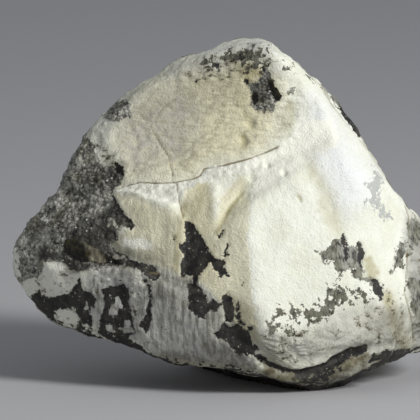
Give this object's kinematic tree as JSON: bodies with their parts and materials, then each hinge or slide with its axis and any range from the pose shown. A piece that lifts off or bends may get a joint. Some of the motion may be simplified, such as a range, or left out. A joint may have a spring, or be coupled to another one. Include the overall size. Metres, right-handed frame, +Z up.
{
  "type": "witherite specimen",
  "caption": "Rough hand specimen of massive cream witherite grown with dark rock, broken to a blunt wedge and resting on a flat broken facet.",
  "frame": {"origin": "in the middle of the flat broken facet the stone rests on", "axes": "+X to the right along the longest extent, the display face looks towards -Y and a little up, +Z up from the resting facet"},
  "size_m": [0.0723, 0.0492, 0.0551],
  "materials": {
    "witherite_and_matrix": "dull, rough fracture"
  },
  "bodies": {
    "root": {"witherite_stone": "witherite_and_matrix"}
  },
  "joints": []
}
